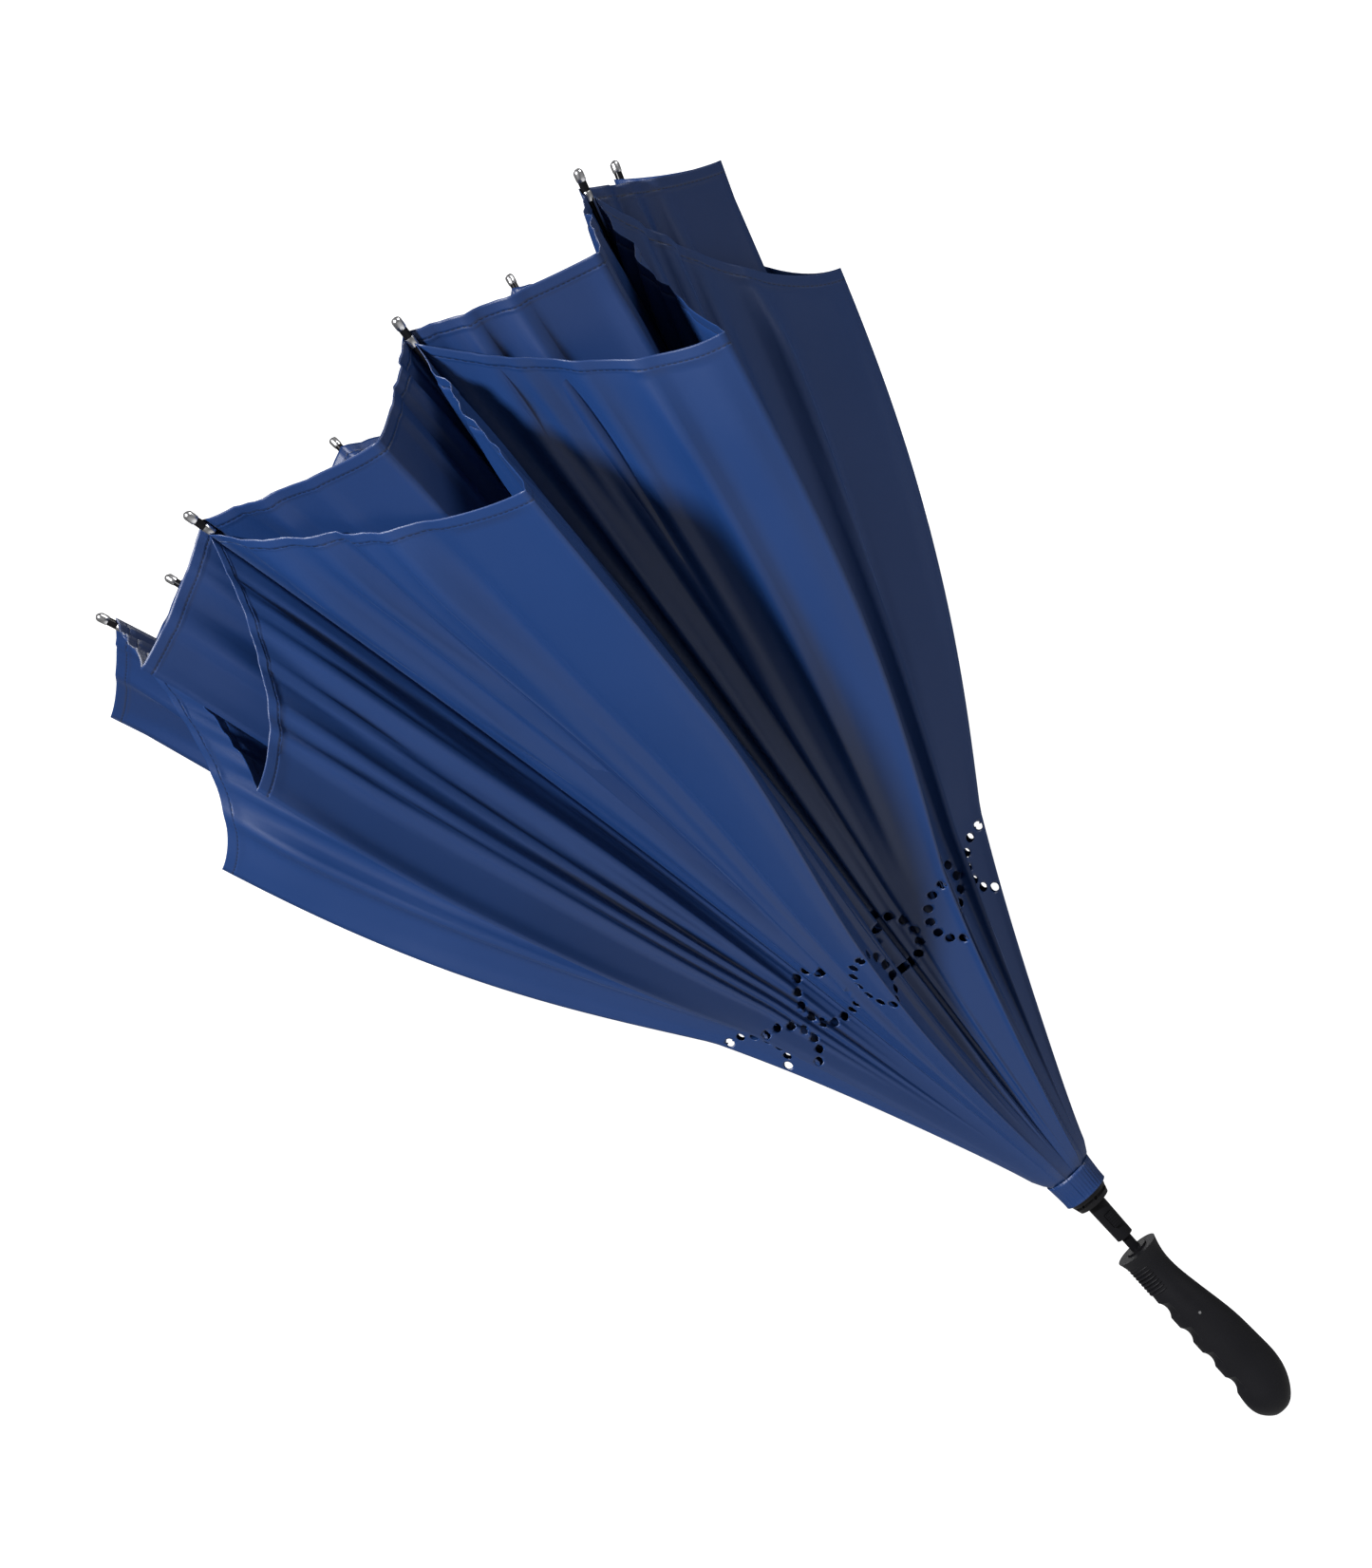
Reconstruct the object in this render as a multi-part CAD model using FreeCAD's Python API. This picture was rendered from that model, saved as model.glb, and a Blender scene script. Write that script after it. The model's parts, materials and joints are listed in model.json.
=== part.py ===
"""Double-layer inverted stick umbrella, eight ribs, standing half folded with its mouth up.

Frame: +Z runs along the shaft from the handle to the top notch. The origin is on the shaft axis at the
centre of the palm grip. Rib k stands at azimuth k * 45 degrees. Sizes are millimetres and degrees.
"""
import math
import os

import FreeCAD
import Part

# ---- driving dimensions -----------------------------------------------------------------------
RIBS = 8

SHAFT_R = 3.3                # fibreglass shaft
BORE_GAP = 0.3               # running clearance of the runner on the shaft

PIVOT_R = 9.0                # radius of the ring of rib pivots, and of the stretcher pivots
RIB_CHORD = 692.0            # rib pivot to rib tip
RIB_REST = 17.0              # angle of a rib's chord from the shaft, half folded
RIB_BOW = 8.0                # total bend of a rib, away from the shaft at its tip
RIB_ROD_R = 1.7              # fibreglass rib rod
STRETCHER = 220.0            # stretcher length, and the distance along a rib to its stretcher joint

EYE_R = 2.2                  # flat eye at the pivoted end of a rib or stretcher
EYE_T = 1.6
EYE_NECK = 12.0              # length of the flat neck between eye and rod
NECK_LAP = 2.0               # how far the rod runs over the neck
PIN_R = 0.6
EYE_HOLE_GAP = 0.15
SLOT_GAP = 0.35              # each side of an eye in its slot

CLIP_LENGTH = 14.0           # clip on the rib that takes the stretcher's fork
CLIP_WALL = 0.9
FORK_T = 1.0
FORK_GAP = 0.4
FORK_LENGTH = 36.0
STRETCHER_R = 1.6
TIP_LENGTH = 16.0            # metal rib tip
TIP_R = 2.5

RING_MARGIN = 3.0            # slotted ring of the runner, and of the top notch, outside its pivots
RING_BELOW = 4.0
RING_ABOVE = 3.0
RING_FLOOR = 1.2             # what is left under a slot
CUP_MARGIN = 1.5             # cup under the runner's ring, where the lining is gathered
CUP_TAPER = 2.5
CUP_WINDOW = (4.6, 6.6, 2.0)
CUP_HOLE_R = 1.3
CUP_HEIGHT = 8.0
CUP_TOP_DROP = 6.0           # lining edge below the pivot plane
SLEEVE_TOP_WALL = 2.75
SLEEVE_BOTTOM_WALL = 2.2
SLEEVE_LENGTH = 29.0
CLAMP_SEAT = 1.0             # step in the ring for the lining's clamp ring
CLAMP_LIP = 1.0              # width that the lining's clamp ring stands proud of the cup

BUTTON_W = 5.0               # catch button on the runner's sleeve
BUTTON_L = 10.0
BUTTON_PROUD = 1.6
BUTTON_DEPTH = 1.5
BUTTON_TRAVEL = 1.2
BUTTON_GAP = 0.25
BUTTON_RIDGES = 5
BUTTON_RIDGE_R = 0.35

HANDLE_TOP = 68.5            # mouth of the handle above the middle of the grip
HANDLE_LENGTH = 137.0
HANDLE_WIDTH = 36.0          # finger side to back, at the belly
HANDLE_DEPTH = 29.0          # side to side
RUNNER_GAP = 11.5            # runner sleeve to handle mouth, half folded
COLLAR_WALL = 4.1
COLLAR_HEIGHT = 1.3
CORE_WALL = 4.7              # socket that holds the shaft in the grip
CORE_LENGTH = 60.0
CORE_FLOOR = 4.0
GROOVE_R = 11.0              # finger grooves
GROOVE_CUT = 2.2
GROOVE_KEEP = 1.45           # where the block that keeps a groove's finger side sits, in handle depths
FINGER_SIDE = -0.356         # finger side of the grip's middle, as a share of the width
NEARLY_ROUND = 0.999         # an ellipse's short radius is kept under its long one
GROOVES = 4
GROOVES_FROM = 0.30          # first and last groove, as shares of the handle's length from its mouth
GROOVES_TO = 0.76
PIN_HEAD_R = 0.9
PIN_DROP = 52.5              # cross pin below the handle's mouth
PIN_PROUD = 0.2

CAP_R = 11.0                 # cap on top of the shaft
CAP_HEIGHT = 9.0
WASHER_R = 12.5              # washer under the cap, where the outer canopy is gathered
WASHER_T = 1.2

CLOTH_T = 1.0                # stand-in plates for the two skins of cloth
CLOTH_OFFSET = 4.5           # plate to rib line
LINING_MID = 26.5            # angle of a gore's middle line from the shaft, half folded
CANOPY_MID = 22.0
LINING_SPAN = (105.0, 612.0)  # along the gore, from the rib pivot
CANOPY_SPAN = (245.0, 668.0)
CLOTH_FROM = 0.36            # share of the half gore's width where its plate starts and stops
CLOTH_TO = 0.84
HEM_TUCK = 0.985             # a plate is this much shorter at the gore's middle line

# ---- places worked out from them ----------------------------------------------------------------
RIB_BEND_R = RIB_CHORD / 2 / math.sin(math.radians(RIB_BOW / 2))
RIB_ARC = RIB_BEND_R * math.radians(RIB_BOW)
JOINT_TURN = 2 * math.degrees(math.asin(STRETCHER / 2 / RIB_BEND_R))
RIB_START = RIB_REST - RIB_BOW / 2                   # direction of the rib as it leaves its pivot
LINK_REST = RIB_START + JOINT_TURN / 2               # direction from the rib pivot to the stretcher joint
SLEEVE_TOP_DROP = CUP_TOP_DROP + CUP_HEIGHT
RING_R = PIVOT_R + RING_MARGIN
CUP_TOP_R = RING_R + CUP_MARGIN
RUNNER_Z = HANDLE_TOP + RUNNER_GAP + SLEEVE_LENGTH + SLEEVE_TOP_DROP
BUTTON_Z = RUNNER_Z - SLEEVE_TOP_DROP - SLEEVE_LENGTH / 2
NOTCH_Z = RUNNER_Z + 2 * STRETCHER * math.cos(math.radians(LINK_REST))
SHAFT_TOP = NOTCH_Z + RING_BELOW + WASHER_T
BORE_R = SHAFT_R + BORE_GAP
SLEEVE_TOP_R = BORE_R + SLEEVE_TOP_WALL
SLEEVE_BOTTOM_R = BORE_R + SLEEVE_BOTTOM_WALL
CORE_R = SHAFT_R + CORE_WALL
SLOT_W = EYE_T + 2 * SLOT_GAP
EYE_HOLE_R = PIN_R + EYE_HOLE_GAP
CLIP_R = RIB_ROD_R + CLIP_WALL
STEP_DEG = 360.0 / RIBS
HALF_STEP = math.radians(STEP_DEG / 2)

Z_AXIS = FreeCAD.Vector(0, 0, 1)
Y_AXIS = FreeCAD.Vector(0, 1, 0)
ORIGIN = FreeCAD.Vector(0, 0, 0)


def vec(x, y, z):
    return FreeCAD.Vector(x, y, z)


def leaning(degrees):
    """Unit vector in the XZ plane, leaning out from +Z by that angle."""
    a = math.radians(degrees)
    return vec(math.sin(a), 0, math.cos(a))


def cylinder(radius, height, base, axis=Z_AXIS):
    return Part.makeCylinder(radius, height, base, axis)


def tube(outer, inner, height, z):
    return cylinder(outer, height, vec(0, 0, z)).cut(cylinder(inner, height, vec(0, 0, z)))


def cone(bottom_r, top_r, height, z):
    return Part.makeCone(bottom_r, top_r, height, vec(0, 0, z), Z_AXIS)


def block(length_x, length_y, length_z, centre):
    corner = centre - vec(length_x / 2, length_y / 2, length_z / 2)
    return Part.makeBox(length_x, length_y, length_z, corner)


def turned(shape, degrees):
    copy = shape.copy()
    copy.rotate(ORIGIN, Z_AXIS, degrees)
    return copy


def along(shape, start, degrees):
    """A shape modelled up +Z from the origin, moved to start and leaned out by that angle."""
    copy = shape.copy()
    copy.rotate(ORIGIN, Y_AXIS, degrees)
    copy.translate(start)
    return copy


def export(shape, node):
    shape.exportStep("parts/" + node + ".step")


# ---- frame of a rib in the XZ plane ---------------------------------------------------------------
RIB_PIVOT = vec(PIVOT_R, 0, RUNNER_Z)
NOTCH_PIVOT = vec(PIVOT_R, 0, NOTCH_Z)
LINK_JOINT = RIB_PIVOT + leaning(LINK_REST) * STRETCHER


def rib_point(turn):
    """Point on the rib's line after it has bent by turn degrees from its pivot."""
    length = 2 * RIB_BEND_R * math.sin(math.radians(turn / 2))
    return RIB_PIVOT + leaning(RIB_START + turn / 2) * length


def eye():
    """Flat eye and neck, pivot at the origin, neck up +Z."""
    flat = cylinder(EYE_R, EYE_T, vec(0, -EYE_T / 2, 0), Y_AXIS)
    flat = flat.fuse(block(2 * RIB_ROD_R, EYE_T, EYE_NECK, vec(0, 0, EYE_NECK / 2)))
    return flat.cut(cylinder(EYE_HOLE_R, 2 * EYE_T, vec(0, -EYE_T, 0), Y_AXIS))


def rib():
    start_turn = math.degrees((EYE_NECK - NECK_LAP) / RIB_BEND_R)
    end_turn = RIB_BOW - math.degrees(TIP_LENGTH / 2 / RIB_BEND_R)
    line = Part.Arc(rib_point(start_turn), rib_point((start_turn + end_turn) / 2), rib_point(end_turn))
    path = Part.Wire([line.toShape()])
    ring = Part.Circle(rib_point(start_turn), leaning(RIB_START + start_turn), RIB_ROD_R)
    rod = path.makePipeShell([Part.Wire([ring.toShape()])], True, True)
    end = along(eye(), RIB_PIVOT, RIB_START)
    clip = cylinder(CLIP_R, CLIP_LENGTH, vec(0, 0, -CLIP_LENGTH / 2))
    clip = along(clip, LINK_JOINT, RIB_START + JOINT_TURN)
    hole = cylinder(EYE_HOLE_R, 4 * CLIP_R, LINK_JOINT - Y_AXIS * 2 * CLIP_R, Y_AXIS)
    ferrule = cylinder(TIP_R, TIP_LENGTH - TIP_R, ORIGIN)
    ferrule = ferrule.fuse(Part.makeSphere(TIP_R, vec(0, 0, TIP_LENGTH - TIP_R)))
    ferrule = along(
        ferrule, rib_point(RIB_BOW) - leaning(RIB_START + RIB_BOW) * TIP_LENGTH, RIB_START + RIB_BOW)
    return rod.fuse([end, clip, ferrule]).cut(hole)


def stretcher():
    """Thin bar from the top notch down to a fork that straddles the rib's clip."""
    cheek_y = CLIP_R + FORK_GAP + FORK_T / 2
    foot = vec(0, 0, -STRETCHER)
    bar_length = STRETCHER - FORK_LENGTH - EYE_NECK + 2 * NECK_LAP
    shape = eye()
    shape.rotate(ORIGIN, Y_AXIS, 180)
    shape = shape.fuse(cylinder(STRETCHER_R, bar_length, vec(0, 0, -EYE_NECK + NECK_LAP - bar_length)))
    bridge = block(2 * STRETCHER_R, 2 * cheek_y + FORK_T, 2 * NECK_LAP,
                   foot + Z_AXIS * (FORK_LENGTH - NECK_LAP))
    shape = shape.fuse(bridge)
    for side in (-1, 1):
        middle = foot + vec(0, side * cheek_y, FORK_LENGTH / 2)
        cheek = block(2 * RIB_ROD_R, FORK_T, FORK_LENGTH, middle)
        disc = cylinder(EYE_R, FORK_T, foot + vec(0, side * cheek_y - FORK_T / 2, 0), Y_AXIS)
        shape = shape.fuse([cheek, disc])
    pin = cylinder(PIN_R, 2 * cheek_y, foot - Y_AXIS * cheek_y, Y_AXIS)
    shape = shape.fuse(pin)
    return along(shape, NOTCH_PIVOT, -LINK_REST)


def slotted_ring(z, up):
    """Ring at pivot height z with a slot for each eye, open outward and towards up, and its pins."""
    below, above = (RING_BELOW, RING_ABOVE) if up > 0 else (RING_ABOVE, RING_BELOW)
    bore = BORE_R if up > 0 else SHAFT_R
    ring = tube(RING_R, bore, below + above, z - below)
    centre = vec(PIVOT_R - EYE_R - SLOT_GAP + RING_R / 2, 0, z + up * RING_FLOOR)
    slot = block(RING_R, SLOT_W, RING_BELOW + RING_ABOVE, centre)
    pin = cylinder(PIN_R, 2 * SLOT_W, vec(PIVOT_R, -SLOT_W, z), Y_AXIS)
    for k in range(RIBS):
        ring = ring.cut(turned(slot, k * STEP_DEG))
    for k in range(RIBS):
        ring = ring.fuse(turned(pin, k * STEP_DEG))
    return ring


def runner_hub():
    hub = slotted_ring(RUNNER_Z, 1)
    cup = cone(CUP_TOP_R - CUP_TAPER, CUP_TOP_R, CUP_HEIGHT, RUNNER_Z - SLEEVE_TOP_DROP)
    neck = cylinder(RING_R - CLAMP_SEAT, CUP_TOP_DROP - RING_BELOW, vec(0, 0, RUNNER_Z - CUP_TOP_DROP))
    cup = cup.fuse(neck).cut(cylinder(BORE_R, 2 * SLEEVE_TOP_DROP, vec(0, 0, RUNNER_Z - SLEEVE_TOP_DROP)))
    window_z = RUNNER_Z - CUP_TOP_DROP - CUP_HEIGHT / 2
    for k in range(RIBS):
        window = block(*CUP_WINDOW, vec(CUP_TOP_R, 0, window_z))
        hole = cylinder(CUP_HOLE_R, CUP_TAPER, vec(CUP_TOP_R - CUP_TAPER, 0, window_z), vec(1, 0, 0))
        cup = cup.cut(turned(window, (k + 0.5) * STEP_DEG))
        cup = cup.cut(turned(hole, k * STEP_DEG))
    return hub.fuse(cup)


def button_at(gap):
    """The catch button's body on the -Y side of the sleeve, grown by gap for its pocket."""
    base = (SLEEVE_TOP_R + SLEEVE_BOTTOM_R) / 2
    outer = base + BUTTON_PROUD + gap
    inner = base - BUTTON_DEPTH - (BUTTON_TRAVEL + gap if gap else 0.0)
    return block(
        BUTTON_W + 2 * gap, outer - inner, BUTTON_L + 2 * gap, vec(0, -(outer + inner) / 2, BUTTON_Z))


def runner_sleeve():
    z = RUNNER_Z - SLEEVE_TOP_DROP - SLEEVE_LENGTH
    sleeve = cone(SLEEVE_BOTTOM_R, SLEEVE_TOP_R, SLEEVE_LENGTH, z)
    sleeve = sleeve.cut(cylinder(BORE_R, SLEEVE_LENGTH, vec(0, 0, z)))
    return sleeve.cut(button_at(BUTTON_GAP))


def catch_button():
    button = button_at(0.0)
    clear_r = BORE_R + BUTTON_TRAVEL
    button = button.cut(cylinder(clear_r, 2 * BUTTON_L, vec(0, 0, BUTTON_Z - BUTTON_L)))
    outer = (SLEEVE_TOP_R + SLEEVE_BOTTOM_R) / 2 + BUTTON_PROUD
    pitch = BUTTON_L / (BUTTON_RIDGES + 1)
    for i in range(BUTTON_RIDGES + 1):
        start = vec(-BUTTON_W, -outer, BUTTON_Z + (i - BUTTON_RIDGES / 2) * pitch)
        button = button.cut(cylinder(BUTTON_RIDGE_R, 2 * BUTTON_W, start, vec(1, 0, 0)))
    return button


def lining_clamp():
    z = RUNNER_Z - CUP_TOP_DROP
    return tube(CUP_TOP_R + CLAMP_LIP, RING_R - CLAMP_SEAT, CUP_TOP_DROP - RING_BELOW, z)


def shaft():
    bottom = HANDLE_TOP - CORE_LENGTH + CORE_FLOOR
    return cylinder(SHAFT_R, SHAFT_TOP - bottom, vec(0, 0, bottom))


def handle_grip():
    """Straight pistol grip, bellied to the +X side, with finger grooves on the -X side."""
    # share of the length below the mouth, then finger side and back as shares of the width
    outline = [
        (0.0, -0.411, 0.394),
        (0.066, -0.350, 0.328),
        (0.175, -0.339, 0.317),
        (0.266, FINGER_SIDE, 0.367),
        (0.398, FINGER_SIDE, 0.461),
        (0.529, FINGER_SIDE, 0.544),
        (0.675, -0.350, 0.583),
        (0.792, -0.367, 0.594),
        (0.887, -0.400, 0.517),
        (0.953, -0.333, 0.378),
        (1.0, -0.156, 0.178),
    ]
    rings = []
    for share, finger_side, back in outline:
        half = (back - finger_side) * HANDLE_WIDTH / 2
        minor = min(half * NEARLY_ROUND, HANDLE_DEPTH / 2)
        ellipse = Part.Ellipse(ORIGIN, half, minor).toShape()
        centre_x = (finger_side + back) * HANDLE_WIDTH / 2
        ellipse.translate(vec(centre_x, 0, HANDLE_TOP - share * HANDLE_LENGTH))
        rings.append(Part.Wire([ellipse]))
    grip = Part.makeLoft(rings, True, False)
    finger_x = FINGER_SIDE * HANDLE_WIDTH + GROOVE_CUT
    for i in range(GROOVES):
        share = GROOVES_FROM + (GROOVES_TO - GROOVES_FROM) * i / (GROOVES - 1)
        wheel = Part.makeTorus(HANDLE_DEPTH / 2 + GROOVE_R, GROOVE_R)
        centre = vec(finger_x + HANDLE_DEPTH / 2, 0, HANDLE_TOP - share * HANDLE_LENGTH)
        wheel.translate(centre)
        near = block(2 * HANDLE_DEPTH, 4 * HANDLE_DEPTH, 3 * GROOVE_R, centre - vec(GROOVE_KEEP * HANDLE_DEPTH, 0, 0))
        grip = grip.cut(wheel.common(near))
    grip = grip.cut(cylinder(CORE_R, CORE_LENGTH, vec(0, 0, HANDLE_TOP - CORE_LENGTH)))
    return grip.cut(handle_pin())


def handle_pin():
    """Cross pin that locks the grip on its core, its head on the -Y face of the grip."""
    level = HANDLE_TOP - PIN_DROP
    head_y = HANDLE_DEPTH / 2 + PIN_PROUD
    return cylinder(PIN_HEAD_R, head_y, vec(0, -head_y, level), Y_AXIS).cut(
        cylinder(CORE_R, 4 * PIN_HEAD_R, vec(0, 0, level - 2 * PIN_HEAD_R)))


def handle_core():
    core = cylinder(CORE_R, CORE_LENGTH, vec(0, 0, HANDLE_TOP - CORE_LENGTH))
    core = core.fuse(cylinder(SHAFT_R + COLLAR_WALL, COLLAR_HEIGHT, vec(0, 0, HANDLE_TOP)))
    return core.cut(cylinder(SHAFT_R, 2 * CORE_LENGTH, vec(0, 0, HANDLE_TOP - CORE_LENGTH + CORE_FLOOR)))


def top_cap():
    dome = Part.makeSphere(CAP_R, ORIGIN, Z_AXIS, 0, 90, 360)
    matrix = FreeCAD.Matrix()
    matrix.scale(1.0, 1.0, CAP_HEIGHT / CAP_R)
    dome = dome.transformGeometry(matrix)
    dome.translate(vec(0, 0, SHAFT_TOP))
    return dome


def canopy_washer():
    return tube(WASHER_R, SHAFT_R, WASHER_T, NOTCH_Z + RING_BELOW)


def half_gore(mid_angle, span, offset, side):
    """Plate for the half gore on one side of rib 0, between the rib and the gore's middle line."""
    rib_way = leaning(RIB_REST)
    flat = leaning(mid_angle)
    mid_way = vec(flat.x * math.cos(HALF_STEP), side * flat.x * math.sin(HALF_STEP), flat.z)
    normal = rib_way.cross(mid_way) * side
    normal.normalize()
    normal = normal * (1 if normal.x > 0 else -1)

    def point(length, share):
        way = rib_way * (1 - share) + mid_way * share
        way.normalize()
        return RIB_PIVOT + way * length + normal * offset

    low, high = span
    corners = [point(low, CLOTH_FROM), point(high, CLOTH_FROM), point(high * HEM_TUCK, CLOTH_TO),
               point(low, CLOTH_TO)]
    face = Part.Face(Part.makePolygon(corners + corners[:1]))
    return face.extrude(normal * CLOTH_T)


def main():
    os.makedirs("parts", exist_ok=True)
    export(shaft(), "shaft")
    export(handle_grip(), "handle_grip")
    export(handle_core(), "handle_core")
    export(handle_pin(), "handle_pin")
    export(slotted_ring(NOTCH_Z, -1), "top_notch")
    export(top_cap(), "top_cap")
    export(canopy_washer(), "canopy_washer")
    export(runner_hub(), "runner_hub")
    export(runner_sleeve(), "runner_sleeve")
    export(catch_button(), "catch_button")
    export(lining_clamp(), "lining_clamp")
    rib_shape = rib()
    stretcher_shape = stretcher()
    cloths = {}
    for name, side in (("left", -1), ("right", 1)):
        cloths["lining_%d_" + name] = half_gore(LINING_MID, LINING_SPAN, CLOTH_OFFSET, side)
        cloths["canopy_%d_" + name] = half_gore(CANOPY_MID, CANOPY_SPAN, -CLOTH_OFFSET, side)
    for k in range(RIBS):
        export(turned(rib_shape, k * STEP_DEG), "rib_%d" % (k + 1))
        export(turned(stretcher_shape, k * STEP_DEG), "stretcher_%d" % (k + 1))
        for name, shape in cloths.items():
            export(turned(shape, k * STEP_DEG), name % (k + 1))


main()
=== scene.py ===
"""Looks of a double-layer inverted stick umbrella: cloth skins, frame finishes, grip and studio."""
import json
import math

import bmesh
import bpy
import numpy as np
from bpy.props import FloatProperty, FloatVectorProperty, IntProperty, PointerProperty
from mathutils import Matrix, Vector


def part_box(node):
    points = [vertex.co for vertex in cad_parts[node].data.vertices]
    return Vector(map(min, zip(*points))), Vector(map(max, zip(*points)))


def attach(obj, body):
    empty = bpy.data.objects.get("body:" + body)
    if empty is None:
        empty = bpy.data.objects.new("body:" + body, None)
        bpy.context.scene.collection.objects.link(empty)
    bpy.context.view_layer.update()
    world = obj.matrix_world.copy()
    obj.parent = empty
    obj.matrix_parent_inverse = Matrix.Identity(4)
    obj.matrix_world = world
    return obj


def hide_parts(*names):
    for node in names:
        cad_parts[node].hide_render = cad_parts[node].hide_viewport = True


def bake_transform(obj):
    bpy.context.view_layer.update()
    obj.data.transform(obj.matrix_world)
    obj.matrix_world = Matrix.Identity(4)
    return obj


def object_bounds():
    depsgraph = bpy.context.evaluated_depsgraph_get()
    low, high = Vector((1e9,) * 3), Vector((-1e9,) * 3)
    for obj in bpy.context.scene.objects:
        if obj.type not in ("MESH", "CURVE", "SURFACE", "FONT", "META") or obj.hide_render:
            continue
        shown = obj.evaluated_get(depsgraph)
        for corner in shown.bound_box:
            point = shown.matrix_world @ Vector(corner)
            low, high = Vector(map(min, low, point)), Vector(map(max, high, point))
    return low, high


bl_info = {
    "name": "Inverted Stick Umbrella",
    "version": (1, 0, 0),
    "blender": (4, 5, 0),
    "location": "View3D > Sidebar > Umbrella",
    "description": "Cloth, frame finishes, grip and stage of an inverted stick umbrella",
    "category": "Add Mesh",
}

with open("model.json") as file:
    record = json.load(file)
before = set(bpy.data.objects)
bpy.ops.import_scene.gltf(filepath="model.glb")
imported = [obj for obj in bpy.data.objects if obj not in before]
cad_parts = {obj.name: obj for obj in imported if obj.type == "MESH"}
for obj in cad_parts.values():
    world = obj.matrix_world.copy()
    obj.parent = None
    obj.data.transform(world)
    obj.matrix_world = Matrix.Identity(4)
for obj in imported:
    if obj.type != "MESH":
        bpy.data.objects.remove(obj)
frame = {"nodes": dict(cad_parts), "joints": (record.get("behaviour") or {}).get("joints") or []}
CAD_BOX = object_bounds()
JOINTS = {j["name"]: j for j in frame["joints"]}

RIBS = 8
SIDES = {"left": -1, "right": 1}
HALF_STEP = math.pi / RIBS
HUB = Vector(JOINTS["runner_pivot"]["pos_m"])      # pivot of the first rib
NOTCH = Vector(JOINTS["open_fold"]["pos_m"])       # pivot of the first stretcher
LINK = Vector(JOINTS["rib_1_joint"]["pos_m"])      # where the first stretcher meets its rib
LINK_LENGTH = (LINK - HUB).length
PLEAT_SLANTS = (12.0, -3.0, 3.0, 9.0, 11.0, 18.0, 4.0, 14.0)      # degrees, gore by gore
PLEAT_TUCKS = (0.0, 0.008, 0.004, 0.050, 0.028, 0.006, 0.010, 0.030)  # metres lost at the ridge

# Lengths along a gore are metres from the rib's pivot.
LINING_START, LINING_HEM_RIB, LINING_HEM_RIDGE, LINING_HEM_CURVE = 0.009, 0.677, 0.612, 1.9
CANOPY_START, CANOPY_HEM_RIB, CANOPY_HEM_RIDGE, CANOPY_HEM_CURVE = 0.080, 0.684, 0.664, 1.5
LINING_SWELL, CANOPY_SWELL = 0.016, 0.008    # how far a ridge bows outward
LINING_OUTSET = 0.0034                       # from the rib's line to the lining
CANOPY_OUTSET, CANOPY_CLEAR = 0.0038, 0.018  # the canopy's, and what it gains over the stretchers
CANOPY_SLANT, CANOPY_CREASE = 0.5, 0.8       # shares of the lining's slant and creases
TURNOVER = 0.42                              # where rows start to follow the hem
CREASES = 9                                  # in each half gore
SLANT_DROP = 0.06                            # a slanted ridge leans less, by this share of its slant

GATHER = (0.0065, 0.035)                     # bulge of a ridge at the hub, and how fast it fades
GATHER_FROM, GATHER_OVER = 0.004, 0.020      # where that bulge begins, and over what length
HOLLOW = (0.004, 0.19, 0.11)                 # depth, place and spread of the hollow below the swell
SWELL_FROM, SWELL_OVER = 0.24, 0.40
SLANT_FROM, SLANT_OVER = 0.01, 0.42
CREASE_SPAN = 0.66                           # length over which creases grow
VENT_GRIP = (0.0010, 0.0008)                 # points this far inside or outside a vent's rim move onto it
VENT_TRIM = 0.93                             # faces with a centre within this share of a vent go
VENT_MARGIN = 0.005                          # fine rows beyond each side of the rings of vents
HEM_LIFT = 0.0006                            # how far the doubled hem stands proud
HEM_CALM, HEM_CALM_FLOOR = 0.10, 0.35        # creases fade over this length, and what is left at the hem
COLUMNS_VENTED, COLUMNS_PLAIN = 37, 25
ROWS_SPREAD, ROWS_VENTS, ROWS_PLAIN = 24, 42, 30
ROWS_OUT, ROWS_HEM, HEM_SHARE = 38, 9, 0.95  # rows beyond the turnover, those in the last share of it

COLLAR_REACH = 0.012                         # along the rib
COLLAR_OUTSET, COLLAR_RIPPLE, COLLAR_LAP = 0.0044, 0.0012, 1.02
ROSETTE_START, ROSETTE_REACH, ROSETTE_LENGTH = 0.006, 0.084, 0.090
ROSETTE_ROOT = 0.010                         # added to the reach before it is turned into width
ROSETTE_LIFT, ROSETTE_RIPPLE, ROSETTE_SAG = 0.0042, 0.0030, 0.010

TIP_LENGTH, TIP_LAP, TIP_HEAD = 0.0205, 0.0042, 0.0030
TIP_POINT = 0.00002                          # radius left where a profile closes
RIDGES, RIDGE_PITCH, RIDGE_DROP = 9, 0.0026, 0.0065
NECK_RADIUS, NECK_X = 0.01215, -0.0004       # the grip's neck, where its ridges lie
BEAD, BEAD_TAPER = 0.00075, 0.4

VIEW_CENTRE = (0.350, 0.015)                 # above the hub, and to its left
LIGHTS = (                                   # name, place from the canopy's middle, size, watts
    ("key", (-1.6, -1.7, 1.8), 0.45, 190.0),
    ("fill", (2.4, -1.6, 1.2), 1.4, 48.0),
    ("rim", (0.6, 2.4, 1.8), 1.8, 26.0),
)
AMBIENT, BACKDROP = 0.14, 1.25               # world light, and what the camera sees on top of it


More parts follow.
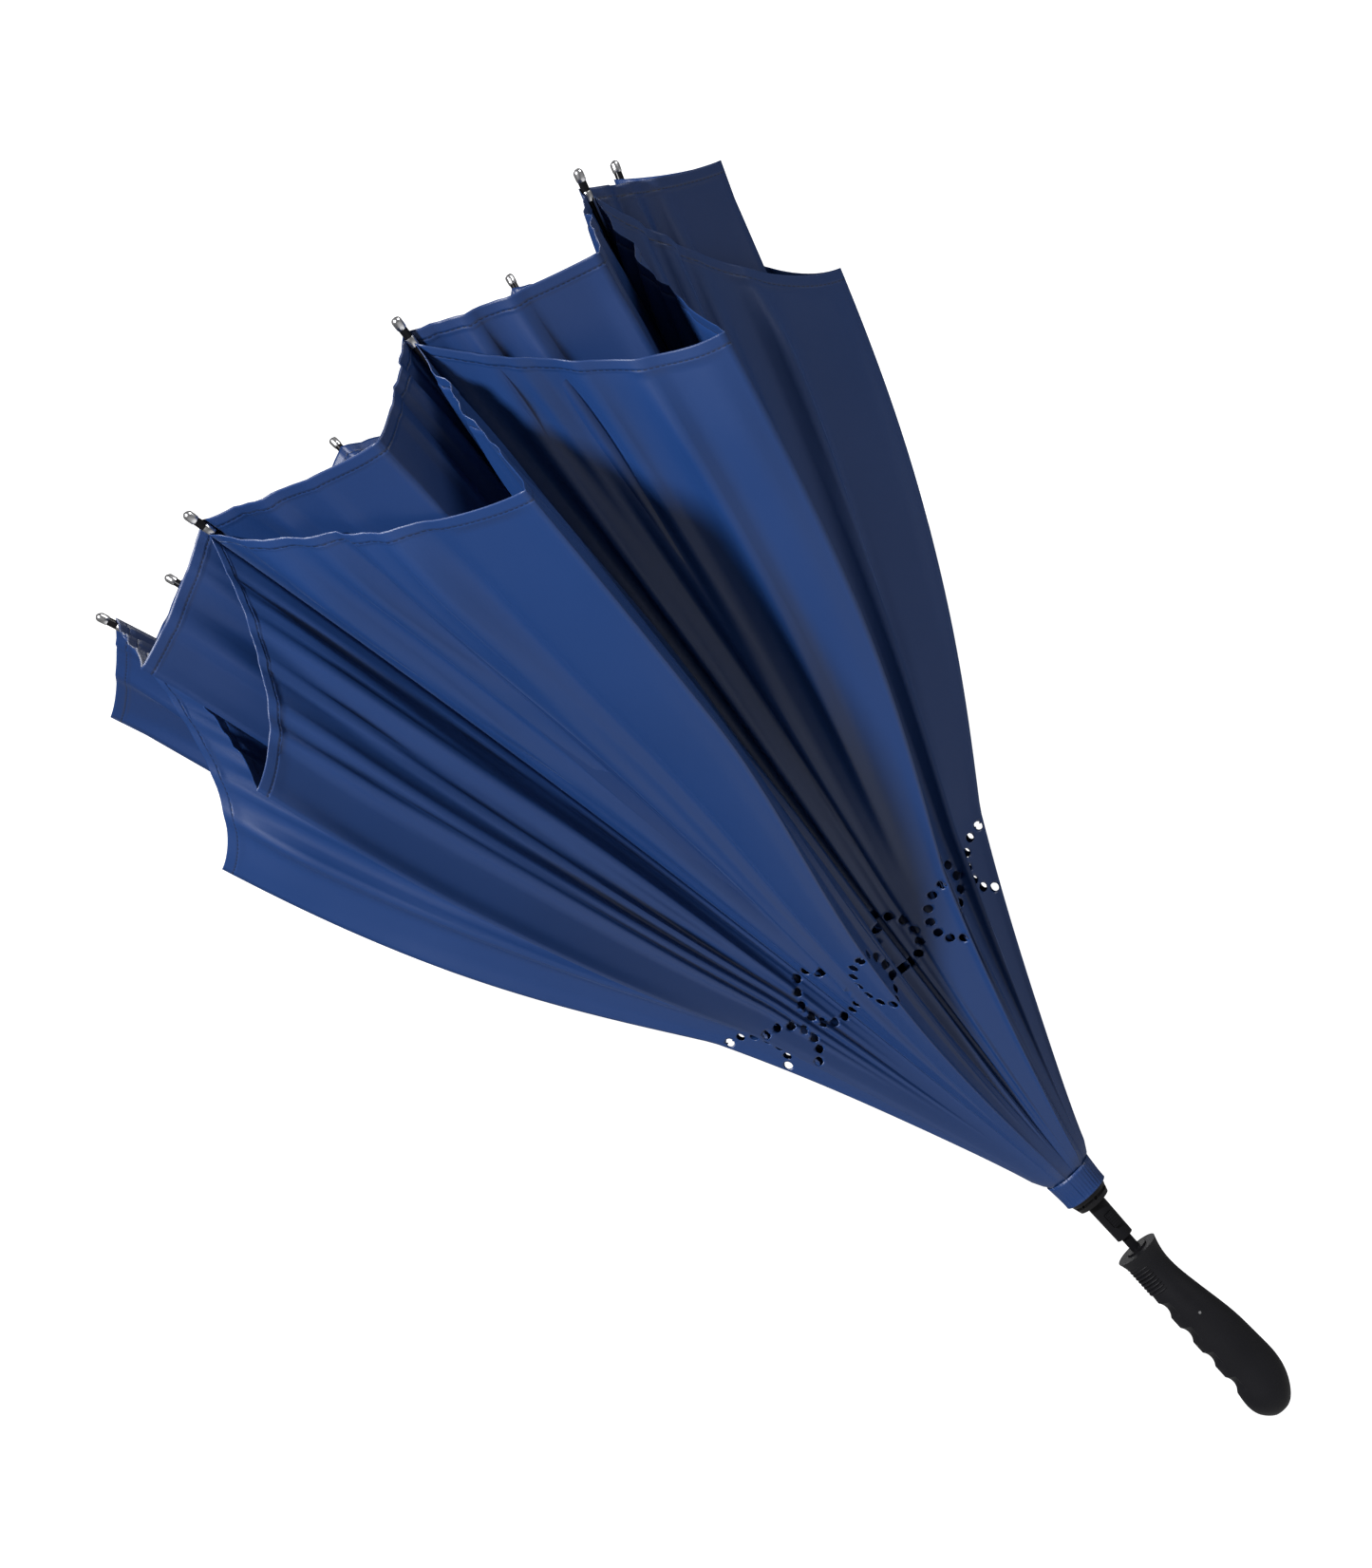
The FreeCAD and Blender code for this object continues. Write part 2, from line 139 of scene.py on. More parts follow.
# ---- settings ---------------------------------------------------------------------------------
class UmbrellaCloth(bpy.types.PropertyGroup):
    lining_color: FloatVectorProperty(
        name="Lining colour", description="Colour of the skin that shows outside when folded",
        subtype="COLOR", size=3, default=(0.0050, 0.0240, 0.0960))
    canopy_color: FloatVectorProperty(
        name="Canopy colour", description="Colour of the skin that meets the rain",
        subtype="COLOR", size=3, default=(0.0045, 0.0200, 0.0810))
    lining_angle: FloatProperty(
        name="Lining pleat angle", description="Lean of a lining pleat's ridge from the shaft, half folded",
        subtype="ANGLE", default=math.radians(26.5))
    canopy_angle: FloatProperty(
        name="Canopy pleat angle", description="Lean of a canopy pleat's ridge from the shaft, half folded",
        subtype="ANGLE", default=math.radians(22.0))
    rib_length: FloatProperty(
        name="Rib length", description="Rib pivot to rib tip", unit="LENGTH", default=0.692)
    rib_lean: FloatProperty(
        name="Rib lean", description="Lean of a rib's chord from the shaft, half folded",
        subtype="ANGLE", default=math.radians(17.0))
    rib_bow: FloatProperty(
        name="Rib bow", description="Total bend of a rib", subtype="ANGLE", default=math.radians(8.0))
    hem_width: FloatProperty(
        name="Hem width", description="Width of the stitched hem", unit="LENGTH", default=0.0085)
    thickness: FloatProperty(
        name="Cloth thickness", description="Thickness of each skin", unit="LENGTH", default=0.0005)
    thread: FloatProperty(
        name="Thread spacing", description="Distance between threads", unit="LENGTH", default=0.0004)
    crease: FloatProperty(
        name="Crease height", description="Height of the deepest creases", unit="LENGTH", default=0.0095)


class UmbrellaVents(bpy.types.PropertyGroup):
    distance: FloatProperty(
        name="Distance", description="Hub to the middle of each ring of vents", unit="LENGTH", default=0.212)
    ring_radius: FloatProperty(
        name="Ring radius", description="Radius of a ring of vents", unit="LENGTH", default=0.020)
    hole_radius: FloatProperty(
        name="Hole radius", description="Radius of a punched vent", unit="LENGTH", default=0.0030)
    holes: IntProperty(name="Holes", description="Vents in a whole ring", default=14)


class UmbrellaFinish(bpy.types.PropertyGroup):
    grip_color: FloatVectorProperty(
        name="Grip colour", description="Colour of the rubber", subtype="COLOR", size=3,
        default=(0.0045, 0.0045, 0.0060))
    nylon_color: FloatVectorProperty(
        name="Nylon colour", description="Colour of the moulded pieces", subtype="COLOR", size=3,
        default=(0.0040, 0.0040, 0.0050))
    nickel_color: FloatVectorProperty(
        name="Nickel colour", description="Colour of the plated tips", subtype="COLOR", size=3,
        default=(0.78, 0.78, 0.80))


class UmbrellaStage(bpy.types.PropertyGroup):
    azimuth: FloatProperty(
        name="Azimuth", description="Camera round the shaft", subtype="ANGLE", default=math.radians(-10.0))
    elevation: FloatProperty(
        name="Elevation", description="Camera above level", subtype="ANGLE", default=math.radians(4.5))
    roll: FloatProperty(
        name="Roll", description="Lean of the shaft in the picture", subtype="ANGLE",
        default=math.radians(42.0))
    distance: FloatProperty(
        name="Distance", description="Camera to the middle of the view", unit="LENGTH", default=2.15)
    view_height: FloatProperty(
        name="View height", description="Height that the picture covers", unit="LENGTH", default=0.9625)


# ---- small helpers ------------------------------------------------------------------------------
def settings():
    return bpy.context.scene


def mesh_object(name, points, faces, uv=None, marks=None, smooth=True):
    """A mesh object from an array of points and an array of quads, with uv and point attributes."""
    mesh = bpy.data.meshes.new(name)
    mesh.from_pydata(np.asarray(points, float).tolist(), [], np.asarray(faces).tolist())
    mesh.update()
    if uv is not None:
        layer = mesh.uv_layers.new(name="cloth")
        loops = np.zeros(len(mesh.loops), np.int32)
        mesh.loops.foreach_get("vertex_index", loops)
        layer.data.foreach_set("uv", np.asarray(uv, np.float32)[loops].ravel())
    for key, values in (marks or {}).items():
        layer = mesh.attributes.new(key, "FLOAT", "POINT")
        layer.data.foreach_set("value", np.asarray(values, np.float32).ravel())
    mesh.polygons.foreach_set("use_smooth", np.full(len(mesh.polygons), smooth))
    obj = bpy.data.objects.new(name, mesh)
    bpy.context.scene.collection.objects.link(obj)
    return obj


def grid_quads(rows, columns, flip=False):
    """Quads of a grid whose points run row by row."""
    index = np.arange(rows * columns).reshape(rows, columns)
    a, b = index[:-1, :-1].ravel(), index[1:, :-1].ravel()
    c, d = index[1:, 1:].ravel(), index[:-1, 1:].ravel()
    return np.stack([a, d, c, b] if flip else [a, b, c, d], axis=1)


def ring_quads(rows, columns, flip=False):
    """Quads of a grid whose last column joins its first."""
    index = np.arange(rows * columns).reshape(rows, columns)
    after = np.roll(index, -1, axis=1)
    a, b = index[:-1].ravel(), index[1:].ravel()
    c, d = after[1:].ravel(), after[:-1].ravel()
    return np.stack([a, d, c, b] if flip else [a, b, c, d], axis=1)


def lean(angle):
    """Unit vectors in the XZ plane, leaning out from +Z by angle."""
    angle = np.asarray(angle, float)
    return np.stack([np.sin(angle), np.zeros_like(angle), np.cos(angle)], axis=-1)


def about_z(points, angle):
    """Points turned about the shaft."""
    c, s = math.cos(angle), math.sin(angle)
    return np.asarray(points, float) @ np.array([[c, s, 0], [-s, c, 0], [0, 0, 1]])


def smooth_step(x):
    x = np.clip(x, 0, 1)
    return x * x * (3 - 2 * x)


# ---- shader groups ------------------------------------------------------------------------------
def group_of(name, inputs, outputs):
    tree = bpy.data.node_groups.new(name, "ShaderNodeTree")
    for label, kind, value in inputs:
        socket = tree.interface.new_socket(label, in_out="INPUT", socket_type=kind)
        if value is not None:
            socket.default_value = value
    for label, kind in outputs:
        tree.interface.new_socket(label, in_out="OUTPUT", socket_type=kind)
    return tree, tree.nodes.new("NodeGroupInput"), tree.nodes.new("NodeGroupOutput")


def math_node(tree, operation, first, second=None):
    node = tree.nodes.new("ShaderNodeMath")
    node.operation = operation
    for slot, value in ((0, first), (1, second)):
        if value is None:
            continue
        if isinstance(value, (int, float)):
            node.inputs[slot].default_value = value
        else:
            tree.links.new(value, node.inputs[slot])
    return node.outputs[0]


def weave_group():
    """Plain weave: product of two sine waves along the cloth's own axes, with slow colour drift, and painted
    shade that darkens the colour between threads and lightens it on their crests.
    """
    tree, given, result = group_of(
        "PlainWeave",
        [("Cloth", "NodeSocketVector", None), ("Thread", "NodeSocketFloat", 0.0004),
         ("Colour", "NodeSocketColor", None), ("Drift", "NodeSocketFloat", 0.12)],
        [("Colour", "NodeSocketColor"), ("Height", "NodeSocketFloat"), ("Roughness", "NodeSocketFloat")])
    links = tree.links
    split = tree.nodes.new("ShaderNodeSeparateXYZ")
    links.new(given.outputs["Cloth"], split.inputs[0])
    waves = []
    for axis in (0, 1):
        turns = math_node(tree, "DIVIDE", split.outputs[axis], given.outputs["Thread"])
        waves.append(math_node(tree, "SINE", math_node(tree, "MULTIPLY", turns, math.pi)))
    height = math_node(tree, "MULTIPLY", waves[0], waves[1])
    noise = tree.nodes.new("ShaderNodeTexNoise")
    noise.inputs["Scale"].default_value = 9.0
    noise.inputs["Detail"].default_value = 4.0
    links.new(given.outputs["Cloth"], noise.inputs["Vector"])
    level = math_node(tree, "SUBTRACT", noise.outputs[0], 0.5)
    value = math_node(tree, "ADD", math_node(tree, "MULTIPLY", level, given.outputs["Drift"]), 1.0)
    hue = tree.nodes.new("ShaderNodeHueSaturation")
    links.new(given.outputs["Colour"], hue.inputs["Color"])
    # painted shade: the weave's height lightens the colour on thread crests and darkens it in the gaps
    # between threads
    links.new(math_node(tree, "ADD", value, math_node(tree, "MULTIPLY", height, 0.07)), hue.inputs["Value"])
    links.new(hue.outputs[0], result.inputs["Colour"])
    links.new(height, result.inputs["Height"])
    rough = math_node(tree, "ADD", math_node(tree, "MULTIPLY", noise.outputs[0], 0.16), 0.34)
    links.new(rough, result.inputs["Roughness"])
    return tree


def stitch_group():
    """Row of stitches at a set distance from an edge: dashes along the cloth."""
    tree, given, result = group_of(
        "StitchRow",
        [("Distance", "NodeSocketFloat", 1.0), ("Run", "NodeSocketFloat", 0.0),
         ("Row", "NodeSocketFloat", 0.007), ("Pitch", "NodeSocketFloat", 0.003)],
        [("Mask", "NodeSocketFloat"), ("Fold", "NodeSocketFloat")])
    off = math_node(tree, "ABSOLUTE", math_node(tree, "SUBTRACT", given.outputs[0], given.outputs[2]))
    near = math_node(tree, "LESS_THAN", off, 0.00035)
    pitches = math_node(tree, "DIVIDE", given.outputs[1], given.outputs[3])
    phase = math_node(tree, "MULTIPLY", pitches, math.tau)
    dash = math_node(tree, "GREATER_THAN", math_node(tree, "SINE", phase), -0.35)
    tree.links.new(math_node(tree, "MULTIPLY", near, dash), result.inputs["Mask"])
    groove = math_node(tree, "MULTIPLY", math_node(tree, "MINIMUM", off, 0.0012), 600.0)
    tree.links.new(groove, result.inputs["Fold"])
    return tree


def wear_group():
    """Fine moulded grain with slow cloudiness, on object coordinates."""
    tree, given, result = group_of(
        "MouldedGrain",
        [("Colour", "NodeSocketColor", None), ("Grain", "NodeSocketFloat", 900.0),
         ("Roughness", "NodeSocketFloat", 0.6), ("Spread", "NodeSocketFloat", 0.2)],
        [("Colour", "NodeSocketColor"), ("Height", "NodeSocketFloat"), ("Roughness", "NodeSocketFloat")])
    place = tree.nodes.new("ShaderNodeTexCoord")
    fine, slow = tree.nodes.new("ShaderNodeTexNoise"), tree.nodes.new("ShaderNodeTexNoise")
    slow.inputs["Scale"].default_value = 45.0
    slow.inputs["Detail"].default_value = 5.0
    for node in (fine, slow):
        tree.links.new(place.outputs["Object"], node.inputs["Vector"])
    tree.links.new(given.outputs["Grain"], fine.inputs["Scale"])
    level = math_node(tree, "SUBTRACT", slow.outputs[0], 0.5)
    shift = math_node(tree, "MULTIPLY", level, given.outputs["Spread"])
    hue = tree.nodes.new("ShaderNodeHueSaturation")
    tree.links.new(given.outputs["Colour"], hue.inputs["Color"])
    tree.links.new(math_node(tree, "ADD", math_node(tree, "MULTIPLY", shift, 3.0), 1.0), hue.inputs["Value"])
    tree.links.new(hue.outputs[0], result.inputs["Colour"])
    tree.links.new(fine.outputs[0], result.inputs["Height"])
    tree.links.new(math_node(tree, "ADD", given.outputs["Roughness"], shift), result.inputs["Roughness"])
    return tree


GROUPS = {}


def shared_group(name):
    builders = {"PlainWeave": weave_group, "StitchRow": stitch_group, "MouldedGrain": wear_group}
    if name not in GROUPS:
        GROUPS[name] = builders[name]()
    return GROUPS[name]


def new_material(name):
    material = bpy.data.materials.new(name)
    material.use_nodes = True
    return material, material.node_tree, material.node_tree.nodes["Principled BSDF"]


def place_group(tree, name, values):
    node = tree.nodes.new("ShaderNodeGroup")
    node.node_tree = shared_group(name)
    for label, value in values.items():
        node.inputs[label].default_value = value
    return node


def cloth_material(name, color, sheen):
    cloth = settings().umbrella_cloth
    material, tree, shader = new_material(name)
    links = tree.links
    uv = tree.nodes.new("ShaderNodeUVMap")
    uv.uv_map = "cloth"
    weave = place_group(tree, "PlainWeave", {"Thread": cloth.thread, "Colour": (*color, 1.0)})
    links.new(uv.outputs[0], weave.inputs["Cloth"])
    edge = tree.nodes.new("ShaderNodeAttribute")
    edge.attribute_name = "hem_distance"
    split = tree.nodes.new("ShaderNodeSeparateXYZ")
    links.new(uv.outputs[0], split.inputs[0])
    stitch = place_group(tree, "StitchRow", {"Row": cloth.hem_width * 0.85})
    links.new(edge.outputs["Fac"], stitch.inputs["Distance"])
    links.new(split.outputs[0], stitch.inputs["Run"])
    mix = tree.nodes.new("ShaderNodeMix")
    mix.data_type = "RGBA"
    links.new(stitch.outputs["Mask"], mix.inputs["Factor"])
    links.new(weave.outputs["Colour"], mix.inputs["A"])
    mix.inputs["B"].default_value = (*[c * 0.35 for c in color], 1.0)
    links.new(mix.outputs["Result"], shader.inputs["Base Color"])
    links.new(weave.outputs["Roughness"], shader.inputs["Roughness"])
    weave_bump, fold_bump = tree.nodes.new("ShaderNodeBump"), tree.nodes.new("ShaderNodeBump")
    weave_bump.inputs["Strength"].default_value = 0.25
    weave_bump.inputs["Distance"].default_value = cloth.thread * 0.25
    fold_bump.inputs["Strength"].default_value = 0.6
    fold_bump.inputs["Distance"].default_value = 0.0008
    links.new(weave.outputs["Height"], weave_bump.inputs["Height"])
    links.new(stitch.outputs["Fold"], fold_bump.inputs["Height"])
    links.new(weave_bump.outputs[0], fold_bump.inputs["Normal"])
    links.new(fold_bump.outputs[0], shader.inputs["Normal"])
    shader.inputs["Sheen Weight"].default_value = sheen
    shader.inputs["Sheen Roughness"].default_value = 0.35
    shader.inputs["Sheen Tint"].default_value = (0.35, 0.5, 0.95, 1.0)
    shader.inputs["Specular IOR Level"].default_value = 0.42
    return material


def grained_material(name, color, grain, roughness, spread, depth, metallic=0.0):
    material, tree, shader = new_material(name)
    group = place_group(
        tree, "MouldedGrain",
        {"Colour": (*color, 1.0), "Grain": grain, "Roughness": roughness, "Spread": spread})
    tree.links.new(group.outputs["Colour"], shader.inputs["Base Color"])
    tree.links.new(group.outputs["Roughness"], shader.inputs["Roughness"])
    bump = tree.nodes.new("ShaderNodeBump")
    bump.inputs["Strength"].default_value = 0.5
    bump.inputs["Distance"].default_value = depth
    tree.links.new(group.outputs["Height"], bump.inputs["Height"])
    tree.links.new(bump.outputs[0], shader.inputs["Normal"])
    shader.inputs["Metallic"].default_value = metallic
    shader.inputs["Specular IOR Level"].default_value = 0.5 if metallic else 0.16
    return material


def finish_named(name):
    """The umbrella's finishes, each made the first time it is asked for."""
    if name in bpy.data.materials:
        return bpy.data.materials[name]
    cloth, finish = settings().umbrella_cloth, settings().umbrella_finish
    if name == "Pongee lining":
        return cloth_material(name, cloth.lining_color, 0.07)
    if name == "Pongee canopy":
        return cloth_material(name, cloth.canopy_color, 0.06)
    if name == "Grip rubber":
        return grained_material(name, finish.grip_color, 1400.0, 0.52, 0.12, 0.00012)
    if name == "Black nylon":
        return grained_material(name, finish.nylon_color, 2200.0, 0.38, 0.15, 0.00005)
    if name == "Black lacquer":
        return grained_material(name, finish.nylon_color, 3000.0, 0.26, 0.10, 0.00002)
    return grained_material(name, finish.nickel_color, 2600.0, 0.24, 0.12, 0.00002, 1.0)


# ---- the cloth's shape ----------------------------------------------------------------------------
def rib_line(distance):
    """Points of the first rib: an arc that starts at its pivot and bends evenly away from the shaft."""
    cloth = settings().umbrella_cloth
    bend_radius = cloth.rib_length / 2 / math.sin(cloth.rib_bow / 2)
    turn = np.asarray(distance) / bend_radius
    start = cloth.rib_lean - cloth.rib_bow / 2
    reach = 2 * bend_radius * np.sin(turn / 2)
    return np.array(HUB) + lean(start + turn / 2) * reach[..., None], start + turn


def ridge_line(distance, angle, swell, side, slant=0.0):
    """A pleat's ridge near the plane half way to the next rib: gathered in at the hub, slightly hollow,
    then swelling outward, and leaning round the shaft more and more towards its hem."""
    radius = HUB.x * math.cos(HALF_STEP)
    angle = angle - SLANT_DROP * abs(slant)
    gathered = GATHER[0] * np.exp(-distance / GATHER[1]) * smooth_step((distance - GATHER_FROM) / GATHER_OVER)
    hollow = HOLLOW[0] * np.exp(-((distance - HOLLOW[1]) / HOLLOW[2]) ** 2)
    bump = gathered - hollow + swell * np.sin(np.pi * np.clip((distance - SWELL_FROM) / SWELL_OVER, 0, 1))
    flat = np.array([radius, 0, HUB.z]) + lean(angle) * distance[..., None]
    flat = flat + lean(angle + math.pi / 2) * bump[..., None]
    azimuth = side * HALF_STEP + slant * smooth_step((distance - SLANT_FROM) / SLANT_OVER)
    c, s = np.cos(azimuth), np.sin(azimuth)
    return np.stack([c * flat[..., 0], s * flat[..., 0], flat[..., 2]], axis=-1)


def crease_field(distance, share, seed, count, height):
    """Creases that run out from the hub: narrow ridges beside the rib, each drifting a little."""
    draw = np.random.default_rng(seed)
    total = np.zeros_like(distance)
    along = np.clip(distance / CREASE_SPAN, 0, 1)
    for i in range(count):
        centre = draw.uniform(0.05, 0.16) + 0.62 * i / count * draw.uniform(0.6, 1.0)
        drift = draw.uniform(-0.12, 0.12)
        width = draw.uniform(0.016, 0.034) * (1 + centre)
        size = height * draw.uniform(0.4, 1.0) * (1 if i % 3 else -1)
        start = draw.uniform(0.0, 0.35)
        envelope = smooth_step((along - start) / 0.25) * (0.45 + 0.55 * along)
        path = centre + drift * (along - 0.5) + 0.015 * np.sin(9 * along + i * 1.7)
        total += size * envelope * np.exp(-((share - path) / width) ** 2)
    slow = np.sin(5.1 * along + draw.uniform(0, 6)) * np.sin(math.pi * share * 1.5 + draw.uniform(0, 1))
    return total + height * 0.55 * slow * along


def cloth_point(distance, share, angle, swell, outset, side, slant, displacement):
    """Half gore: straight across from the rib, set off by outset, to the ridge, plus displacement."""
    on_rib, heading = rib_line(distance)
    on_rib = on_rib + lean(heading + math.pi / 2) * outset[..., None]
    on_ridge = ridge_line(distance, angle, swell, side, slant)
    across = on_ridge - on_rib
    normal = np.cross(lean(heading), across)
    normal /= np.maximum(np.linalg.norm(normal, axis=-1, keepdims=True), 1e-9)
    normal *= np.sign(normal[..., :1] + 1e-12)
    window = np.clip(share * 12, 0, 1) * np.clip((1 - share) * 8, 0, 1)
    return on_rib + across * share[..., None] + normal * (displacement * smooth_step(window))[..., None]


def snap_to_vents(distance, share, width_at):
    """Moves grid parameters onto the rims of the punched vents; returns what is inside a vent."""
    vents = settings().umbrella_vents
    inside_rings = []
    steps = (np.arange(vents.holes) + 0.5) * math.tau / vents.holes
    for base in (0.0, 1.0):
        for angle in steps:
            centre_t = vents.distance + vents.ring_radius * math.cos(angle)
            x = vents.ring_radius * math.sin(angle) * (1 if base == 0 else -1)
            if x <= vents.hole_radius:
                continue
            centre_x = x if base == 0 else float(width_at(centre_t)) - x
            width = width_at(distance)
            dt, dx = distance - centre_t, share * width - centre_x
            far = np.hypot(dt, dx)
            rim = (far > vents.hole_radius - VENT_GRIP[0]) & (far < vents.hole_radius + VENT_GRIP[1])
            scale = np.where(rim, vents.hole_radius / np.maximum(far, 1e-9), 1.0)
            distance = np.where(rim, centre_t + dt * scale, distance)
            share = np.where(rim, (centre_x + dx * scale) / width, share)
            inside_rings.append((centre_t, centre_x))
    return distance, share, inside_rings


def half_gore(name, k, side, angle, swell, start, hem_rib, hem_ridge, hem_power, outset_at, slant, seed,
              crease, vented):
    """One half gore as a grid: rows run out along the rib, columns from the rib to the ridge."""
    cloth = settings().umbrella_cloth
    vents = settings().umbrella_vents
    columns = COLUMNS_VENTED if vented else COLUMNS_PLAIN
    low = vents.distance - vents.ring_radius - VENT_MARGIN
    high = vents.distance + vents.ring_radius + VENT_MARGIN
    if vented:
        rows = np.concatenate([np.linspace(start, low, ROWS_SPREAD, endpoint=False),
                               np.linspace(low, high, ROWS_VENTS, endpoint=False),
                               np.linspace(high, TURNOVER, ROWS_SPREAD, endpoint=False)])
    else:
        rows = np.linspace(start, TURNOVER, ROWS_PLAIN, endpoint=False)
    out = np.concatenate([np.linspace(0, HEM_SHARE, ROWS_OUT, endpoint=False),
                          np.linspace(HEM_SHARE, 1, ROWS_HEM)])
    share = np.tile(np.linspace(0, 1, columns), (len(rows) + len(out), 1))
    hem = hem_ridge + (hem_rib - hem_ridge) * (1 - share) ** hem_power
    outer = TURNOVER + (hem[len(rows):] - TURNOVER) * out[:, None]
    distance = np.concatenate([np.tile(rows[:, None], (1, columns)), outer])

    def width_at(t):
        t = np.asarray(t, float)
        return np.linalg.norm(ridge_line(t, angle, swell, 1) - rib_line(t)[0], axis=-1)

    holes = []
    if vented:
        distance, share, holes = snap_to_vents(distance, share, width_at)
    to_hem = hem - distance
    lift = crease_field(distance, share, seed, CREASES, crease)
    lift = lift * smooth_step(to_hem / HEM_CALM + HEM_CALM_FLOOR)
    lift = lift + HEM_LIFT * (to_hem < cloth.hem_width)
    outset = outset_at(distance)
    points = cloth_point(distance, share, angle, swell, outset, side, slant, lift)
    shape = distance.shape
    faces = grid_quads(*shape, flip=side > 0)
    if holes:
        t_mid = distance.ravel()[faces].mean(1)
        x_mid = (share * width_at(distance)).ravel()[faces].mean(1)
        keep = np.ones(len(faces), bool)
        for centre_t, centre_x in holes:
            keep &= np.hypot(t_mid - centre_t, x_mid - centre_x) > vents.hole_radius * VENT_TRIM
        faces = faces[keep]
    width = width_at(distance)
    uv = np.stack([side * share * width, distance], axis=-1).reshape(-1, 2)
    flat = points.reshape(-1, 3)
    corner = [flat[faces[:, i]] for i in range(4)]
    area = 0.5 * np.linalg.norm(np.cross(corner[2] - corner[0], corner[3] - corner[1]), axis=1).sum()
    used = np.unique(faces)
    renumber = np.full(len(flat), -1)
    renumber[used] = np.arange(len(used))
    obj = mesh_object(name, about_z(flat[used], 2 * HALF_STEP * (k - 1)), renumber[faces], uv[used],
                      {"hem_distance": to_hem.ravel()[used]})
    weights = np.clip(share.ravel()[used], 0, 1)
    return obj, weights, float(area), float(width.max()), float(hem_rib - start)


def gore_beside(k, side):
    """Index of the gore on that side of rib k."""
    return (k - 1 if side > 0 else k - 2) % RIBS


def pleat_slant(k, side):
    """How far the pleat beside rib k leans round the shaft: one flops right over its neighbour."""
    return math.radians(PLEAT_SLANTS[gore_beside(k, side)])


def bind_half_gore(obj):
    """Bakes the half gore's placement into its points."""
    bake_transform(obj)


def add_thickness(obj, thickness, offset=0.0):
    solid = obj.modifiers.new("thickness", "SOLIDIFY")
    solid.thickness = thickness
    solid.offset = offset


class UMBRELLA_OT_lining(bpy.types.Operator):
    """Lining: sixteen half gores with punched vents and stitched hems"""

    bl_idname = "umbrella.lining"
    bl_label = "Lining"

    def execute(self, context):
        cloth = settings().umbrella_cloth
        for k in range(1, RIBS + 1):
            for side_name, side in SIDES.items():
                obj, weights, area, width, length = half_gore(
                    "lining_cloth_%d_%s" % (k, side_name), k, side, cloth.lining_angle,
                    LINING_SWELL, LINING_START,
                    LINING_HEM_RIB, LINING_HEM_RIDGE - PLEAT_TUCKS[gore_beside(k, side)], LINING_HEM_CURVE,
                    lambda t: np.full_like(t, LINING_OUTSET), pleat_slant(k, side),
                    100 + 2 * k + (side > 0), cloth.crease, True)
                add_thickness(obj, cloth.thickness)
                obj.data.materials.append(finish_named("Pongee lining"))
                bind_half_gore(obj)
                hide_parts("lining_%d_%s" % (k, side_name))
        return {"FINISHED"}


class UMBRELLA_OT_canopy(bpy.types.Operator):
    """Outer canopy: sixteen half gores nested inside the lining, half folded"""

    bl_idname = "umbrella.canopy"
    bl_label = "Outer canopy"

    def execute(self, context):
        cloth = settings().umbrella_cloth

        def outset(t):
            inner = np.clip((LINK_LENGTH - t) / (LINK_LENGTH - CANOPY_START), 0, 1)
            return -(CANOPY_OUTSET + CANOPY_CLEAR * inner)

        for k in range(1, RIBS + 1):
            for side_name, side in SIDES.items():
                obj, weights, area, width, length = half_gore(
                    "canopy_cloth_%d_%s" % (k, side_name), k, side, cloth.canopy_angle,
                    CANOPY_SWELL, CANOPY_START,
                    CANOPY_HEM_RIB, CANOPY_HEM_RIDGE, CANOPY_HEM_CURVE, outset,
                    CANOPY_SLANT * pleat_slant(k, side), 300 + 2 * k + (side > 0),
                    cloth.crease * CANOPY_CREASE, False)
                add_thickness(obj, cloth.thickness)
                obj.data.materials.append(finish_named("Pongee canopy"))
                bind_half_gore(obj)
                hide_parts("canopy_%d_%s" % (k, side_name))
        return {"FINISHED"}


